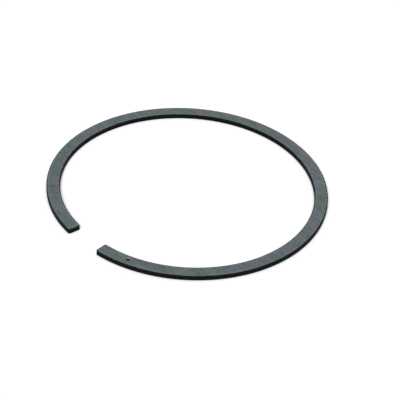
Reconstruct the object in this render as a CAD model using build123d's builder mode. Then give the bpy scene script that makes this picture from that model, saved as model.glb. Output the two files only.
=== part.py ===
from build123d import *

import math
import os

# A split piston compression ring, cast in iron and turned all over. It lies loose and open, as it
# comes out of its box, and closes to a true circle once it is sprung into its cylinder.
# +Z is up through the marked side and +Y runs from the gap to the back of the ring. The origin is
# on the lower side, at the middle of the ring's outline.

# Driving dimensions, in millimetres.
CYLINDER_BORE = 88.9
AXIAL_WIDTH = 1.59
RADIAL_WALL = 4.4

# The gap at mid-wall, with the ring loose and with the ring in its cylinder.
FREE_GAP = 12.6
CLOSED_GAP = 0.35

# The running face is lapped to a slight barrel that stands proud of its edges by this much.
FACE_CROWN = 0.02

# Every edge is broken, the upright ones at the ends more than the rest.
EDGE_BREAK = 0.1
END_CORNER_BREAK = 0.5

# A drilled dot near one end marks the side that faces the piston's crown.
MARK_DIAMETER = 1.2
MARK_DEPTH = 0.4
MARK_FROM_END = 10.5
MARK_FROM_INNER_FACE = 2.0

# How finely the free shape is followed, and how often the gap is measured and put right.
HALF_ARCS = 12
GAP_CORRECTIONS = 4

mid_radius = (CYLINDER_BORE - RADIAL_WALL) / 2
half_wall = RADIAL_WALL / 2
end_angle = math.pi - CLOSED_GAP / (2 * mid_radius)


def free_heading(angle, ring_parameter):
    """How far the loose ring has turned, from its back to a place at this angle in the cylinder.

    A ring presses evenly all round if its loose curvature is (1 - k * (1 + cos(angle))) / r,
    where k is the ring parameter and r the radius of its closed mid-wall. Added up along the
    ring, that curvature gives the turn.
    """
    return angle - ring_parameter * (angle + math.sin(angle))


def free_half(ring_parameter):
    """Radius and turn of each mid-wall arc in half the loose ring, from its back to one end."""
    step = end_angle / HALF_ARCS
    headings = [free_heading(step * n, ring_parameter) for n in range(HALF_ARCS + 1)]
    turns = [after - before for before, after in zip(headings, headings[1:])]
    return [(mid_radius * step / turn, turn) for turn in turns]


def end_of(arcs):
    """Place and heading where a chain of tangent arcs ends, if it sets out from (0, 0) along -X."""
    x, y, heading = 0.0, 0.0, 0.0
    for radius, turn in arcs:
        x -= radius * (math.sin(heading + turn) - math.sin(heading))
        y += radius * (math.cos(heading + turn) - math.cos(heading))
        heading += turn
    return x, y, heading


# A first guess from the rule for a small gap, FREE_GAP = 3 * pi * k * r, and then its corrections.
ring_parameter = FREE_GAP / (3 * math.pi * mid_radius)
for correction in range(GAP_CORRECTIONS):
    end_x, end_y, end_heading = end_of(free_half(ring_parameter))
    ring_parameter *= FREE_GAP / (-2 * end_x)

half_arcs = free_half(ring_parameter)
end_x, end_y, end_heading = end_of(half_arcs)

# Halfway from the running face at the back to its outermost place at the ends.
middle_y = (half_wall + end_y + half_wall * math.cos(end_heading)) / 2

with BuildPart() as compression_ring:
    # The mid-wall line sets out from the marked end, passes the back and stops at the plain end.
    with BuildLine() as mid_wall:
        place = Vector(-end_x, end_y - middle_y)
        direction = Vector(-math.cos(end_heading), math.sin(end_heading))
        for radius, turn in [*reversed(half_arcs), *half_arcs]:
            arc = JernArc(place, direction, radius, math.degrees(turn))
            place = arc @ 1
            direction = arc % 1
    path = mid_wall.wire()

    # The section stands on the marked end, its first axis towards the running face.
    outward = (path % 0).cross(Vector(0, 0, 1))
    with BuildSketch(Plane(path @ 0, x_dir=outward, z_dir=-(path % 0))) as section:
        with BuildLine():
            bottom_corner = (half_wall - FACE_CROWN, 0)
            top_corner = (half_wall - FACE_CROWN, AXIAL_WIDTH)
            ThreePointArc(bottom_corner, (half_wall, AXIAL_WIDTH / 2), top_corner)
            Polyline(top_corner, (-half_wall, AXIAL_WIDTH), (-half_wall, 0), bottom_corner)
        make_face()
        chamfer(section.vertices(), EDGE_BREAK)
    sweep(path=path)

    # Each end's four edges are cut off at 45 degrees, first at the running and inner faces.
    for end, into_ring in ((path @ 0, path % 0), (path @ 1, -(path % 1))):
        middle = end + Vector(0, 0, AXIAL_WIDTH / 2)
        across = into_ring.cross(Vector(0, 0, 1))
        for side, half_size, size_of_break in (
            (across, half_wall, END_CORNER_BREAK),
            (-across, half_wall, END_CORNER_BREAK),
            (Vector(0, 0, 1), AXIAL_WIDTH / 2, EDGE_BREAK),
            (Vector(0, 0, -1), AXIAL_WIDTH / 2, EDGE_BREAK),
        ):
            break_start = middle + side * (half_size - size_of_break)
            with Locations(Plane(break_start, z_dir=side - into_ring)):
                Box(
                    RADIAL_WALL * 2,
                    RADIAL_WALL * 2,
                    RADIAL_WALL,
                    align=(Align.CENTER, Align.CENTER, Align.MIN),
                    mode=Mode.SUBTRACT,
                )

    mark_place = path.position_at(MARK_FROM_END, PositionMode.LENGTH)
    mark_outward = path.tangent_at(MARK_FROM_END, PositionMode.LENGTH).cross(Vector(0, 0, 1))
    mark_centre = mark_place + mark_outward * (MARK_FROM_INNER_FACE - half_wall)
    with Locations((mark_centre.X, mark_centre.Y, AXIAL_WIDTH)):
        Cone(
            bottom_radius=0,
            top_radius=MARK_DIAMETER / 2,
            height=MARK_DEPTH,
            align=(Align.CENTER, Align.CENTER, Align.MAX),
            mode=Mode.SUBTRACT,
        )

compression_ring.part.label = "compression_ring"
os.makedirs("parts", exist_ok=True)
export_step(compression_ring.part, "parts/compression_ring.step")
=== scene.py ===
import math

import bpy
from mathutils import Matrix, Vector

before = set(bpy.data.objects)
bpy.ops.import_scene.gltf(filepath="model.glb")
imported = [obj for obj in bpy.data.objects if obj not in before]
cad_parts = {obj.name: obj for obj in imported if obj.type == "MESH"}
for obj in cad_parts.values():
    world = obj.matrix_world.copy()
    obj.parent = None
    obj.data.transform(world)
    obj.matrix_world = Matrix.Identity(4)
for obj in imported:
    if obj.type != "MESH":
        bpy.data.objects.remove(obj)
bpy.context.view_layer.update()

# The ring
# One piece of grey cast iron, turned all over and split. A phosphate bath turns it matt black, and
# grinding its two sides to width takes them back to slate grey. Only its own spring holds it.

MM = 0.001

GROUND_SIDE = "#667072"
GREENISH_SIDE = "#5E6C6C"
PLAIN_SIDE = "#6D7076"
# A painted highlight, for the burr beside the dot.
BURR_HIGHLIGHT = "#CCD2D4"
WORN_EDGE = "#353B3C"
PHOSPHATED_FACE = "#080B0B"


def linear(code):
    """The linear colour of an sRGB hex value, with an alpha of 1."""
    channels = [int(code[start:start + 2], 16) / 255 for start in (1, 3, 5)]
    return [c / 12.92 if c <= 0.04045 else ((c + 0.055) / 1.055) ** 2.4 for c in channels] + [1]


def add_node(tree, kind, inputs=None, **settings):
    """Adds a node. An input takes a value, a socket, or a node, whose first output is then used."""
    node = tree.nodes.new(kind)
    for name, value in settings.items():
        setattr(node, name, value)
    sockets = {socket.identifier: socket for socket in node.inputs}
    for name, value in (inputs or {}).items():
        if isinstance(value, bpy.types.Node):
            value = next(output for output in value.outputs if output.enabled)
        if isinstance(value, bpy.types.NodeSocket):
            tree.links.new(value, sockets[name])
        else:
            sockets[name].default_value = value
    return node


# Phosphated iron drinks in the light and has no shine. Ground iron is a slate grey with a faint
# sheen, broken up by its scratches.
iron = bpy.data.materials.new("cast_iron_phosphated_and_ground")
iron.use_nodes = True
tree = iron.node_tree
tree.nodes.clear()
place = add_node(tree, "ShaderNodeTexCoord").outputs["Object"]

# The edges are rounded a little, beyond their break.
ROUNDING = 0.25 * MM
facing = add_node(tree, "ShaderNodeNewGeometry").outputs["True Normal"]
rounded = add_node(tree, "ShaderNodeBevel", {"Radius": ROUNDING}, samples=8)

# What a wide rounding would leave straight tells how near an edge is: all of it well inside a side,
# 0.998 at 0.68 mm from the edge, 0.98 at 0.45 mm, 0.975 at 0.43 mm and 0.95 at 0.33 mm.
RIM_REACH = 1.1 * MM
wide_rounding = add_node(tree, "ShaderNodeBevel", {"Radius": RIM_REACH}, samples=16)
straight = add_node(
    tree,
    "ShaderNodeVectorMath",
    {"Vector": wide_rounding, "Vector_001": facing},
    operation="DOT_PRODUCT",
).outputs["Value"]

# How level a face is tells which it is: 1 is one of the two sides, 0.83 the wall of the dot, 0.71 a
# broken edge, and the running face, the inner face and the ends are close to 0.
LEVEL_OF_SIDE = 1.0
LEVEL_OF_BREAK = 0.71
LEVEL_TOLERANCE = 0.05
upward = add_node(tree, "ShaderNodeSeparateXYZ", {"Vector": facing}).outputs["Z"]
level = add_node(tree, "ShaderNodeMath", {"Value": upward}, operation="ABSOLUTE")
is_side, is_break = [
    add_node(
        tree,
        "ShaderNodeMath",
        {"Value": level, "Value_001": level_of_face, "Value_002": LEVEL_TOLERANCE},
        operation="COMPARE",
    )
    for level_of_face in (LEVEL_OF_SIDE, LEVEL_OF_BREAK)
]

# Only the two sides are ground, and the wheel stops short of their rims, which keep the black coat.
# The rim is drawn wider than such a ring has it, as a painted dark outline along every edge of the
# sides. The rest is as the bath left it.
RIM_ENDS = 0.95
GRINDING_STARTS = 0.975
is_clear_of_dark_outline = add_node(
    tree,
    "ShaderNodeMapRange",
    {"Value": straight, "From Min": RIM_ENDS, "From Max": GRINDING_STARTS},
)
is_ground = add_node(
    tree, "ShaderNodeMath", {"Value": is_side, "Value_001": is_clear_of_dark_outline}, operation="MULTIPLY"
)

# What the bath left in the ground iron tints it in soft patches, from greenish to plain grey.
PATCH_SIZE = 5 * MM
GREENISH_BELOW = 0.34
PLAIN_ABOVE = 0.66
patches = add_node(
    tree,
    "ShaderNodeTexNoise",
    {"Vector": place, "Scale": 1 / PATCH_SIZE, "Detail": 3.0, "Roughness": 0.6},
)
tint = add_node(tree, "ShaderNodeValToRGB", {"Fac": patches})
tint.color_ramp.elements[0].position = GREENISH_BELOW
tint.color_ramp.elements[0].color = linear(GREENISH_SIDE)
tint.color_ramp.elements[1].position = PLAIN_ABOVE
tint.color_ramp.elements[1].color = linear(PLAIN_SIDE)
between = (GREENISH_BELOW + PLAIN_ABOVE) / 2
tint.color_ramp.elements.new(between).color = linear(GROUND_SIDE)

# The wheels of a side grinder leave long scratches that cross, about 0.05 mm apart. The widest are
# drawn 0.4 mm apart, so that they show, and the finer ones follow inside them.
SCRATCH_SPACING = 0.4 * MM
SCRATCH_LENGTH = 5 * MM
SCRATCH_ANGLES = (math.radians(24), math.radians(-38))
scratches = [
    add_node(
        tree,
        "ShaderNodeTexNoise",
        {
            "Vector": add_node(
                tree,
                "ShaderNodeMapping",
                {
                    "Vector": place,
                    "Rotation": (0, 0, angle),
                    "Scale": (1 / SCRATCH_LENGTH, 1 / SCRATCH_SPACING, 1 / SCRATCH_LENGTH),
                },
            ),
            "Scale": 1.0,
            "Detail": 4.0,
            "Roughness": 0.75,
        },
    )
    for angle in SCRATCH_ANGLES
]
scratched = add_node(
    tree, "ShaderNodeMath", {"Value": scratches[0], "Value_001": scratches[1]}, operation="ADD"
)

# The grain of ground iron is about 0.05 mm. The widest of it is drawn at 0.6 mm, so that it shows.
GRAIN_SIZE = 0.6 * MM
grain = add_node(
    tree,
    "ShaderNodeTexNoise",
    {"Vector": place, "Scale": 1 / GRAIN_SIZE, "Detail": 4.0, "Roughness": 0.75},
)
finish = add_node(
    tree, "ShaderNodeMath", {"Value": scratched, "Value_001": grain}, operation="ADD"
)

# Most of the finish, as the two scratches and the grain add up to it, lies between these two.
FINISH_LOW = 1.2
FINISH_HIGH = 1.8
FINISH_DARKEST = 0.62
FINISH_LIGHTEST = 1.38
shade = add_node(
    tree,
    "ShaderNodeMapRange",
    {
        "Value": finish,
        "From Min": FINISH_LOW,
        "From Max": FINISH_HIGH,
        "To Min": FINISH_DARKEST,
        "To Max": FINISH_LIGHTEST,
    },
)

# The sides are painted brighter just inside their rims, a painted highlight along every edge.
RIM_HIGHLIGHT_FROM = 0.998
RIM_HIGHLIGHT_MOST = 0.98
RIM_HIGHLIGHT_GAIN = 1.9
rim_highlight = add_node(
    tree,
    "ShaderNodeMapRange",
    {
        "Value": straight,
        "From Min": RIM_HIGHLIGHT_FROM,
        "From Max": RIM_HIGHLIGHT_MOST,
        "To Min": 1.0,
        "To Max": RIM_HIGHLIGHT_GAIN,
    },
)
shade_and_rim_highlight = add_node(
    tree, "ShaderNodeMath", {"Value": shade, "Value_001": rim_highlight}, operation="MULTIPLY"
)
side_colour = add_node(
    tree, "ShaderNodeVectorMath", {"Vector": tint, "Vector_001": shade_and_rim_highlight}, operation="MULTIPLY"
)

# Turning leaves fine grooves round the running and inner faces, and the coat lies uneven in them.
GROOVE_SPACING = 0.12 * MM
GROOVE_LENGTH = 8 * MM
GROOVES_LOW = 0.3
GROOVES_HIGH = 0.7
COAT_DARKEST = 0.5
COAT_LIGHTEST = 1.5
grooves = add_node(
    tree,
    "ShaderNodeTexNoise",
    {
        "Vector": add_node(
            tree,
            "ShaderNodeMapping",
            {
                "Vector": place,
                "Scale": (1 / GROOVE_LENGTH, 1 / GROOVE_LENGTH, 1 / GROOVE_SPACING),
            },
        ),
        "Scale": 1.0,
        "Detail": 3.0,
    },
)
coat_shade = add_node(
    tree,
    "ShaderNodeMapRange",
    {
        "Value": grooves,
        "From Min": GROOVES_LOW,
        "From Max": GROOVES_HIGH,
        "To Min": COAT_DARKEST,
        "To Max": COAT_LIGHTEST,
    },
)
coat_colour = add_node(
    tree,
    "ShaderNodeVectorMath",
    {"Vector": linear(PHOSPHATED_FACE)[:3], "Vector_001": coat_shade},
    operation="MULTIPLY",
)

# Handling has worn the coat off the broken edges here and there, where the grain stands highest.
WORN_FROM = 0.46
WORN_THROUGH = 0.64
bare_spots = add_node(
    tree, "ShaderNodeMapRange", {"Value": grain, "From Min": WORN_FROM, "From Max": WORN_THROUGH}
)
is_worn = add_node(
    tree, "ShaderNodeMath", {"Value": is_break, "Value_001": bare_spots}, operation="MULTIPLY"
)
edge_colour = add_node(
    tree,
    "ShaderNodeMix",
    {"Factor_Float": is_worn, "A_Color": coat_colour, "B_Color": linear(WORN_EDGE)},
    data_type="RGBA",
)

# The dot is black. On the side of it that faces the ring's inside, a painted highlight stands for
# the light caught by the small burr the drill has thrown up; the burr itself is not shaped.
# It lies where two spots overlap, each gone at its reach and full at half of it.
DOT_PLACE = Vector((16.45, -40.90, 1.59)) * MM
BURR_HIGHLIGHT_PLACE = Vector((15.93, -40.12, 1.59)) * MM
REACH_FROM_DOT = 1.25 * MM
REACH_FROM_BURR_HIGHLIGHT = 0.5 * MM
is_by_the_dot, is_by_the_burr_highlight = [
    add_node(
        tree,
        "ShaderNodeMapRange",
        {
            "Value": add_node(
                tree,
                "ShaderNodeVectorMath",
                {"Vector": place, "Vector_001": middle},
                operation="DISTANCE",
            ).outputs["Value"],
            "From Min": reach,
            "From Max": reach / 2,
        },
    )
    for middle, reach in ((DOT_PLACE, REACH_FROM_DOT), (BURR_HIGHLIGHT_PLACE, REACH_FROM_BURR_HIGHLIGHT))
]
is_burr_highlight = add_node(
    tree,
    "ShaderNodeMath",
    {"Value": is_by_the_dot, "Value_001": is_by_the_burr_highlight},
    operation="MULTIPLY",
)
ground_colour = add_node(
    tree,
    "ShaderNodeMix",
    {"Factor_Float": is_burr_highlight, "A_Color": side_colour, "B_Color": linear(BURR_HIGHLIGHT)},
    data_type="RGBA",
)
colour = add_node(
    tree,
    "ShaderNodeMix",
    {"Factor_Float": is_ground, "A_Color": edge_colour, "B_Color": ground_colour},
    data_type="RGBA",
)

# The coat is rougher than ground iron and isn't metallic. The iron is only partly bare.
COAT_ROUGHNESS = 0.72
SMOOTHEST_GRINDING = 0.46
ROUGHEST_GRINDING = 0.62
BARE_IRON = 0.25
ground_roughness = add_node(
    tree,
    "ShaderNodeMapRange",
    {
        "Value": finish,
        "From Min": FINISH_LOW,
        "From Max": FINISH_HIGH,
        "To Min": SMOOTHEST_GRINDING,
        "To Max": ROUGHEST_GRINDING,
    },
)
roughness = add_node(
    tree,
    "ShaderNodeMix",
    {"Factor_Float": is_ground, "A_Float": COAT_ROUGHNESS, "B_Float": ground_roughness},
)
metallic = add_node(
    tree, "ShaderNodeMath", {"Value": is_ground, "Value_001": BARE_IRON}, operation="MULTIPLY"
)

# Scratches and grooves are cut into the surface as well as seen on it.
DEEPEST_MARK = 0.01 * MM
MARK_STRENGTH = 0.5
marks = add_node(
    tree, "ShaderNodeMix", {"Factor_Float": is_ground, "A_Float": grooves, "B_Float": finish}
)
relief = add_node(
    tree,
    "ShaderNodeBump",
    {"Height": marks, "Strength": MARK_STRENGTH, "Distance": DEEPEST_MARK, "Normal": rounded},
)

# The coat is porous, so next to no light glances off it.
GLANCE = 0.07
surface = add_node(
    tree,
    "ShaderNodeBsdfPrincipled",
    {
        "Base Color": colour,
        "Metallic": metallic,
        "Roughness": roughness,
        "Specular IOR Level": GLANCE,
        "Normal": relief,
    },
)
add_node(tree, "ShaderNodeOutputMaterial", {"Surface": surface})

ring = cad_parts["compression_ring"]
ring.data.materials.clear()
ring.data.materials.append(iron)

# The floor
# A sheet of matt white paper that the ring lies on. It is so wide that it has no edge in the
# picture, and it shows only the ring's soft shadow.

FLOOR_SIZE = 4.0
FLOOR_PAPER = "#F4F4F4"
PAPER_ROUGHNESS = 0.9

paper = bpy.data.materials.new("white_paper")
paper.use_nodes = True
tree = paper.node_tree
tree.nodes.clear()
sheet = add_node(
    tree,
    "ShaderNodeBsdfPrincipled",
    {"Base Color": linear(FLOOR_PAPER), "Roughness": PAPER_ROUGHNESS},
)


def is_watched(tree):
    """1 for a ray from the camera, or from what mirrors or lets through the camera's view."""
    rays = add_node(tree, "ShaderNodeLightPath").outputs
    by_way_of_the_object = add_node(
        tree,
        "ShaderNodeMath",
        {"Value": rays["Is Glossy Ray"], "Value_001": rays["Is Transmission Ray"]},
        operation="MAXIMUM",
    )
    return add_node(
        tree,
        "ShaderNodeMath",
        {"Value": rays["Is Camera Ray"], "Value_001": by_way_of_the_object},
        operation="MAXIMUM",
    )


# What looks at the paper, straight or in a reflection, sees it glow to a clean white. The glow
# fades in the narrow shadow beside the ring, where the ring covers half the sky.
PAPER_GLOW = 0.35
CONTACT_SHADOW = 0.5 * MM
HALF_THE_SKY = 0.5
open_sky = add_node(tree, "ShaderNodeAmbientOcclusion", {"Distance": CONTACT_SHADOW}, samples=16)
open_glow = add_node(
    tree,
    "ShaderNodeMapRange",
    {"Value": open_sky.outputs["AO"], "From Min": HALF_THE_SKY, "To Max": PAPER_GLOW},
)
glow_strength = add_node(
    tree, "ShaderNodeMath", {"Value": is_watched(tree), "Value_001": open_glow}, operation="MULTIPLY"
)
glow = add_node(
    tree, "ShaderNodeEmission", {"Color": linear(FLOOR_PAPER), "Strength": glow_strength}
)
floor_surface = add_node(tree, "ShaderNodeAddShader", {"Shader": sheet, "Shader_001": glow})
add_node(tree, "ShaderNodeOutputMaterial", {"Surface": floor_surface})

half = FLOOR_SIZE / 2
floor_mesh = bpy.data.meshes.new("floor")
floor_mesh.from_pydata(
    [(-half, -half, 0), (half, -half, 0), (half, half, 0), (-half, half, 0)], [], [(0, 1, 2, 3)]
)
floor_mesh.materials.append(paper)
floor = bpy.data.objects.new("floor", floor_mesh)
bpy.context.scene.collection.objects.link(floor)

# The lights
# A white room lights the ring evenly from all sides, and one large soft lamp far off in front of it
# gives its edges a lit and a dark side.

ROOM_LIGHT = 0.36
LAMP_STRENGTH = 2.0
LAMP_SPREAD = math.radians(25)
LAMP_PLACE = (0.35, -0.61, 0.71)

world = bpy.data.worlds.new("white_room")
bpy.context.scene.world = world
world.use_nodes = True
tree = world.node_tree
tree.nodes.clear()

# What looks at the room, straight or in a reflection, sees plain white.
room_strength = add_node(
    tree, "ShaderNodeMix", {"Factor_Float": is_watched(tree), "A_Float": ROOM_LIGHT, "B_Float": 1.0}
)
room = add_node(
    tree, "ShaderNodeBackground", {"Color": linear("#FFFFFF"), "Strength": room_strength}
)
add_node(tree, "ShaderNodeOutputWorld", {"Surface": room})

lamp_light = bpy.data.lights.new("soft_lamp", "SUN")
lamp_light.energy = LAMP_STRENGTH
lamp_light.angle = LAMP_SPREAD
lamp = bpy.data.objects.new("soft_lamp", lamp_light)
lamp.location = LAMP_PLACE
lamp.rotation_euler = lamp.location.to_track_quat("Z", "Y").to_euler()
bpy.context.scene.collection.objects.link(lamp)

# The camera
# A long lens that looks down at 37 degrees from the marked end's side, and is held a little askew,
# as in the photograph.

CAMERA_PLACE = Vector((284.09, -279.93, 295.92)) * MM
CAMERA_AIM = Vector((8.34, -2.74, 1.59)) * MM
CAMERA_ROLL = math.radians(3.36)
CAMERA_LENS = 135
CAMERA_SENSOR = 36

camera_data = bpy.data.cameras.new("camera")
camera_data.lens = CAMERA_LENS
camera_data.sensor_width = CAMERA_SENSOR
camera = bpy.data.objects.new("camera", camera_data)
upright = (CAMERA_PLACE - CAMERA_AIM).to_track_quat("Z", "Y").to_matrix().to_4x4()
roll = Matrix.Rotation(CAMERA_ROLL, 4, "Z")
camera.matrix_world = Matrix.Translation(CAMERA_PLACE) @ upright @ roll
bpy.context.scene.collection.objects.link(camera)
bpy.context.scene.camera = camera
bpy.context.scene.view_settings.view_transform = "Standard"
